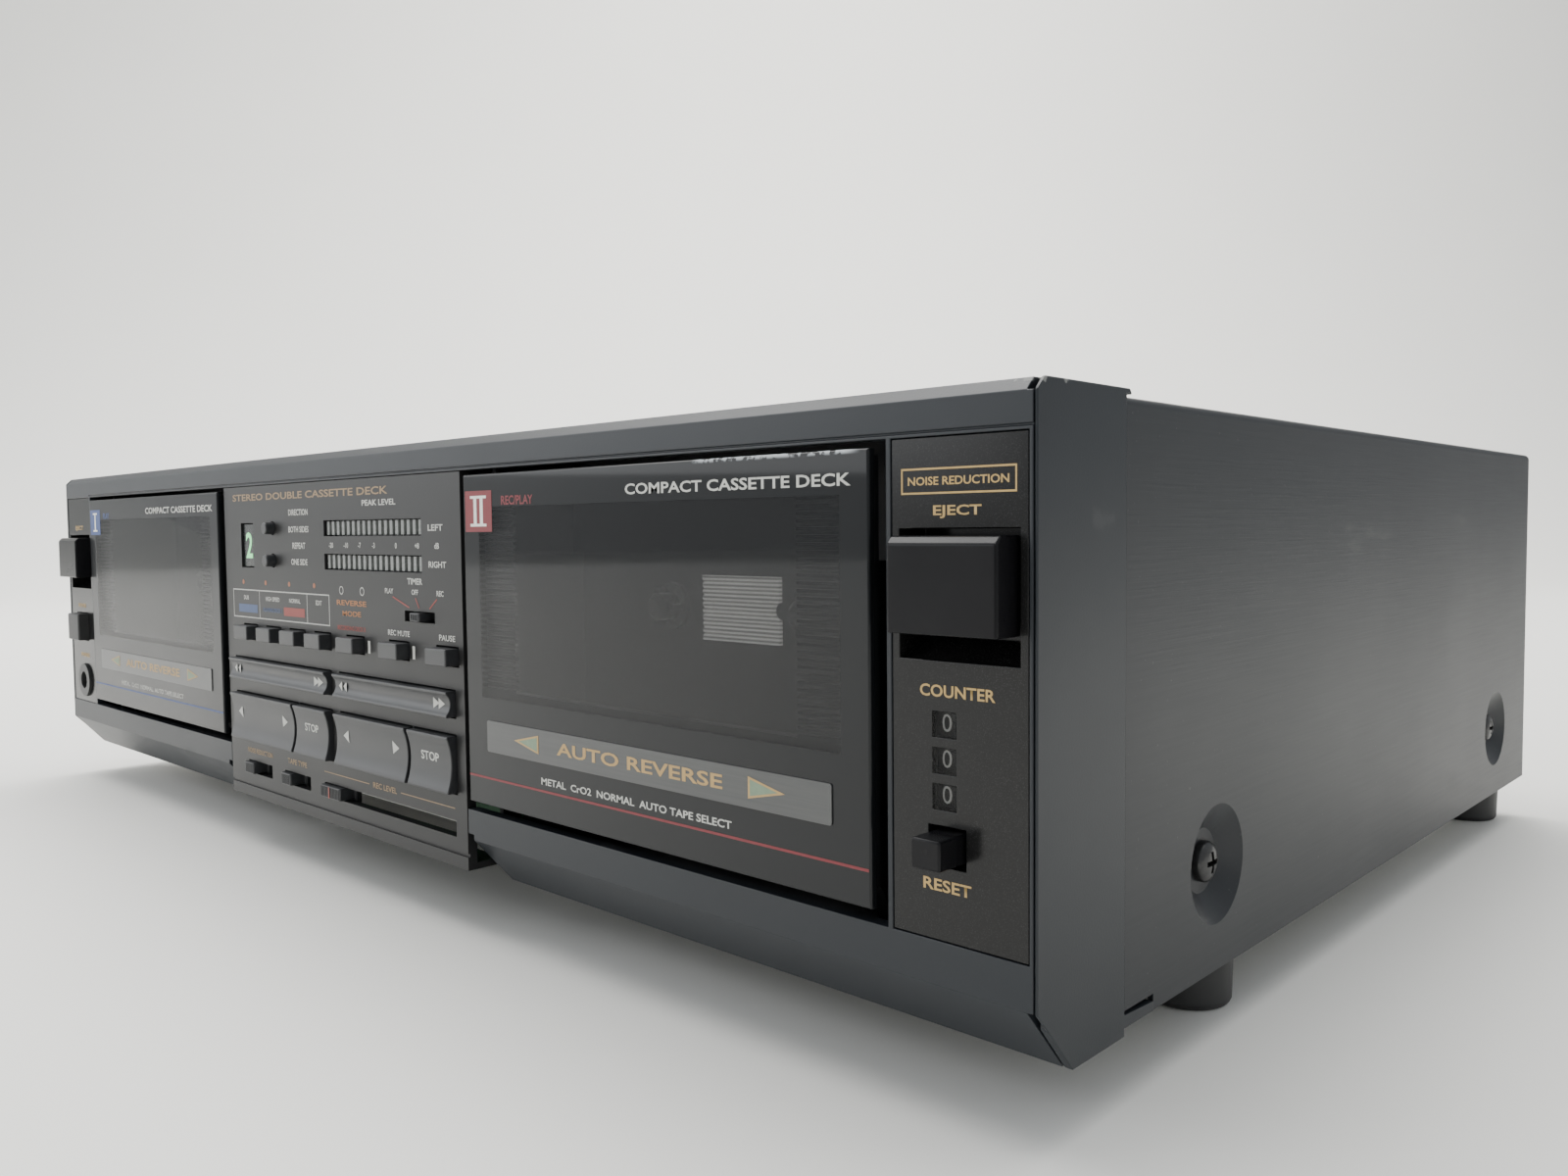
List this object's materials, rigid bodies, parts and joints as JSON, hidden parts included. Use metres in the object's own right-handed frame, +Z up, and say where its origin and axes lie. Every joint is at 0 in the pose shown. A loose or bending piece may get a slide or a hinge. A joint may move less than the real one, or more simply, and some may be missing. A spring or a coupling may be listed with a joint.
{
  "type": "cassette deck",
  "caption": "Full-width cassette deck with tilt-out glass doors, push keys, slide controls, level meters and a tape counter, standing on moulded feet.",
  "frame": {"origin": "on the table, under the centre of the whole box, which runs from the reset button's face to the line sockets' ends", "axes": "+X along the width to the viewer's right, +Y from the front face to the back, +Z up"},
  "size_m": [0.435, 0.3034, 0.115],
  "materials": {
    "body_black": "satin, fine moulded grain",
    "panel_black": "satin with printed legends",
    "strip_gloss": "polished smoked plastic",
    "key_black": "satin",
    "cover_black": "black coating with a fine lengthwise grain",
    "chassis_steel": "zinc-plated sheet",
    "rear_black": "matt black paint",
    "door_glass": "smoked, polished",
    "door_black": "satin",
    "deck_black": "matt",
    "reflector_silver": "ridged, bright",
    "spindle_grey": "moulded",
    "turned_steel": "turned",
    "motor_steel": "drawn can",
    "core_iron": "varnished laminations and windings",
    "board_green": "coated laminate",
    "jack_metal": "plated",
    "inlet_black": "moulded",
    "foot_black": "moulded",
    "screw_black": "black-finished steel",
    "meter_dark": "smoked light guide",
    "wheel_black": "printed number drum"
  },
  "bodies": {
    "chassis": {"front_fascia": "body_black", "end_caps": "body_black", "top_cover": "cover_black", "base_pan": "chassis_steel", "feet": "foot_black", "rear_panel": "rear_black", "rear_jacks": "jack_metal", "mains_inlet": "inlet_black", "strip_left": "strip_gloss", "strip_right": "strip_gloss", "phones_socket": "inlet_black", "counter_frame": "chassis_steel", "deck_frame_1": "deck_black", "deck_frame_2": "deck_black", "reflectors": "reflector_silver", "motors": "motor_steel", "control_panel": "panel_black", "meter_module": "meter_dark", "front_board": "board_green", "main_board": "board_green", "transformer": "core_iron", "screws": "screw_black"},
    "door_1": {"door_frame_1": "door_black", "door_window_1": "door_glass"},
    "eject_1": {"eject_key_1": "key_black"},
    "flywheel_1": {"flywheel_1": "turned_steel"},
    "head_carriage_1": {"head_carriage_1": "chassis_steel"},
    "door_2": {"door_frame_2": "door_black", "door_window_2": "door_glass"},
    "eject_2": {"eject_key_2": "key_black"},
    "flywheel_2": {"flywheel_2": "turned_steel"},
    "head_carriage_2": {"head_carriage_2": "chassis_steel"},
    "reel_1": {"reel_spindle_1": "spindle_grey"},
    "reel_2": {"reel_spindle_2": "spindle_grey"},
    "reel_3": {"reel_spindle_3": "spindle_grey"},
    "reel_4": {"reel_spindle_4": "spindle_grey"},
    "power": {"power_button": "key_black"},
    "reset": {"reset_button": "key_black"},
    "button_1": {"function_button_1": "key_black"},
    "button_2": {"function_button_2": "key_black"},
    "button_3": {"function_button_3": "key_black"},
    "button_4": {"function_button_4": "key_black"},
    "button_5": {"function_button_5": "key_black"},
    "button_6": {"function_button_6": "key_black"},
    "button_7": {"function_button_7": "key_black"},
    "round_1": {"round_button_1": "key_black"},
    "round_2": {"round_button_2": "key_black"},
    "stop_1": {"stop_key_1": "key_black"},
    "stop_2": {"stop_key_2": "key_black"},
    "wind_1": {"wind_key_1": "key_black"},
    "wind_2": {"wind_key_2": "key_black"},
    "play_1": {"play_key_1": "key_black"},
    "play_2": {"play_key_2": "key_black"},
    "timer_knob": {"timer_knob": "key_black"},
    "switch_knob_1": {"switch_knob_1": "key_black"},
    "switch_knob_2": {"switch_knob_2": "key_black"},
    "level_knob": {"level_knob": "key_black"},
    "counter_3": {"counter_wheel_3": "wheel_black"},
    "counter_2": {"counter_wheel_2": "wheel_black"},
    "counter_1": {"counter_wheel_1": "wheel_black"}
  },
  "joints": [
    {"name": "door_1_tilt", "type": "hinge", "parent": "chassis", "child": "door_1", "pos_m": [-0.12825, -0.13225, 0.026], "axis": [1, 0, 0], "range_deg": [0, 25]},
    {"name": "eject_1_press", "type": "slide", "parent": "chassis", "child": "eject_1", "axis": [0, 0, -1], "range_m": [0, 0.0036], "stiffness_N_per_m": 300},
    {"name": "flywheel_1_spin", "type": "hinge", "parent": "chassis", "child": "flywheel_1", "pos_m": [-0.09525, -0.10625, 0.05], "axis": [0, 1, 0], "continuous": true},
    {"name": "head_1_lift", "type": "slide", "parent": "chassis", "child": "head_carriage_1", "axis": [0, 0, 1], "range_m": [0, 0.008], "stiffness_N_per_m": 60},
    {"name": "door_2_tilt", "type": "hinge", "parent": "chassis", "child": "door_2", "pos_m": [0.12825, -0.13225, 0.026], "axis": [1, 0, 0], "range_deg": [0, 25]},
    {"name": "eject_2_press", "type": "slide", "parent": "chassis", "child": "eject_2", "axis": [0, 0, -1], "range_m": [0, 0.0036], "stiffness_N_per_m": 300},
    {"name": "flywheel_2_spin", "type": "hinge", "parent": "chassis", "child": "flywheel_2", "pos_m": [0.16125, -0.10625, 0.05], "axis": [0, 1, 0], "continuous": true},
    {"name": "head_2_lift", "type": "slide", "parent": "chassis", "child": "head_carriage_2", "axis": [0, 0, 1], "range_m": [0, 0.008], "stiffness_N_per_m": 60},
    {"name": "reel_1_spin", "type": "hinge", "parent": "chassis", "child": "reel_1", "pos_m": [-0.1495, -0.11725, 0.0766], "axis": [0, 1, 0], "continuous": true},
    {"name": "reel_2_spin", "type": "hinge", "parent": "chassis", "child": "reel_2", "pos_m": [-0.107, -0.11725, 0.0766], "axis": [0, 1, 0], "continuous": true},
    {"name": "reel_3_spin", "type": "hinge", "parent": "chassis", "child": "reel_3", "pos_m": [0.107, -0.11725, 0.0766], "axis": [0, 1, 0], "continuous": true},
    {"name": "reel_4_spin", "type": "hinge", "parent": "chassis", "child": "reel_4", "pos_m": [0.1495, -0.11725, 0.0766], "axis": [0, 1, 0], "continuous": true},
    {"name": "power_press", "type": "slide", "parent": "chassis", "child": "power", "axis": [0, 1, 0], "range_m": [0, 0.003], "stiffness_N_per_m": 400},
    {"name": "reset_press", "type": "slide", "parent": "chassis", "child": "reset", "axis": [0, 1, 0], "range_m": [0, 0.003], "stiffness_N_per_m": 300},
    {"name": "button_1_press", "type": "slide", "parent": "chassis", "child": "button_1", "axis": [0, 1, 0], "range_m": [0, 0.0015], "stiffness_N_per_m": 400},
    {"name": "button_2_press", "type": "slide", "parent": "chassis", "child": "button_2", "axis": [0, 1, 0], "range_m": [0, 0.0015], "stiffness_N_per_m": 400},
    {"name": "button_3_press", "type": "slide", "parent": "chassis", "child": "button_3", "axis": [0, 1, 0], "range_m": [0, 0.0015], "stiffness_N_per_m": 400},
    {"name": "button_4_press", "type": "slide", "parent": "chassis", "child": "button_4", "axis": [0, 1, 0], "range_m": [0, 0.0015], "stiffness_N_per_m": 400},
    {"name": "button_5_press", "type": "slide", "parent": "chassis", "child": "button_5", "axis": [0, 1, 0], "range_m": [0, 0.0015], "stiffness_N_per_m": 400},
    {"name": "button_6_press", "type": "slide", "parent": "chassis", "child": "button_6", "axis": [0, 1, 0], "range_m": [0, 0.0015], "stiffness_N_per_m": 400},
    {"name": "button_7_press", "type": "slide", "parent": "chassis", "child": "button_7", "axis": [0, 1, 0], "range_m": [0, 0.0015], "stiffness_N_per_m": 400},
    {"name": "round_1_press", "type": "slide", "parent": "chassis", "child": "round_1", "axis": [0, 1, 0], "range_m": [0, 0.001], "stiffness_N_per_m": 400},
    {"name": "round_2_press", "type": "slide", "parent": "chassis", "child": "round_2", "axis": [0, 1, 0], "range_m": [0, 0.001], "stiffness_N_per_m": 400},
    {"name": "stop_1_press", "type": "slide", "parent": "chassis", "child": "stop_1", "axis": [0, 1, 0], "range_m": [0, 0.0015], "stiffness_N_per_m": 400},
    {"name": "stop_2_press", "type": "slide", "parent": "chassis", "child": "stop_2", "axis": [0, 1, 0], "range_m": [0, 0.0015], "stiffness_N_per_m": 400},
    {"name": "wind_1_rock", "type": "hinge", "parent": "chassis", "child": "wind_1", "pos_m": [-0.0301, -0.14025, 0.05345], "axis": [0, 0, 1], "range_deg": [-1.2, 1.2], "stiffness_Nm_per_rad": 0.3},
    {"name": "wind_2_rock", "type": "hinge", "parent": "chassis", "child": "wind_2", "pos_m": [0.0337, -0.14025, 0.05345], "axis": [0, 0, 1], "range_deg": [-1.2, 1.2], "stiffness_Nm_per_rad": 0.3},
    {"name": "play_1_rock", "type": "hinge", "parent": "chassis", "child": "play_1", "pos_m": [-0.0403, -0.14025, 0.03925], "axis": [0, 0, 1], "range_deg": [-1.2, 1.2], "stiffness_Nm_per_rad": 0.3},
    {"name": "play_2_rock", "type": "hinge", "parent": "chassis", "child": "play_2", "pos_m": [0.0238, -0.14025, 0.03925], "axis": [0, 0, 1], "range_deg": [-1.2, 1.2], "stiffness_Nm_per_rad": 0.3},
    {"name": "timer_knob_slide", "type": "slide", "parent": "chassis", "child": "timer_knob", "axis": [1, 0, 0], "range_m": [-0.0045, 0.0045]},
    {"name": "switch_knob_1_slide", "type": "slide", "parent": "chassis", "child": "switch_knob_1", "axis": [1, 0, 0], "range_m": [0, 0.009]},
    {"name": "switch_knob_2_slide", "type": "slide", "parent": "chassis", "child": "switch_knob_2", "axis": [1, 0, 0], "range_m": [0, 0.009]},
    {"name": "level_knob_slide", "type": "slide", "parent": "chassis", "child": "level_knob", "axis": [1, 0, 0], "range_m": [0, 0.0544]},
    {"name": "counter_3_turn", "type": "hinge", "parent": "chassis", "child": "counter_3", "pos_m": [0.2001, -0.13755, 0.0522], "axis": [0, 0, 1], "continuous": true},
    {"name": "counter_2_turn", "type": "hinge", "parent": "chassis", "child": "counter_2", "pos_m": [0.2001, -0.13755, 0.0578], "axis": [0, 0, 1], "continuous": true},
    {"name": "counter_1_turn", "type": "hinge", "parent": "chassis", "child": "counter_1", "pos_m": [0.2001, -0.13755, 0.0634], "axis": [0, 0, 1], "continuous": true}
  ],
  "couplings": [
    {"joint": "counter_2_turn", "follows": "counter_3_turn", "ratio": 0.1},
    {"joint": "counter_1_turn", "follows": "counter_3_turn", "ratio": 0.01}
  ]
}
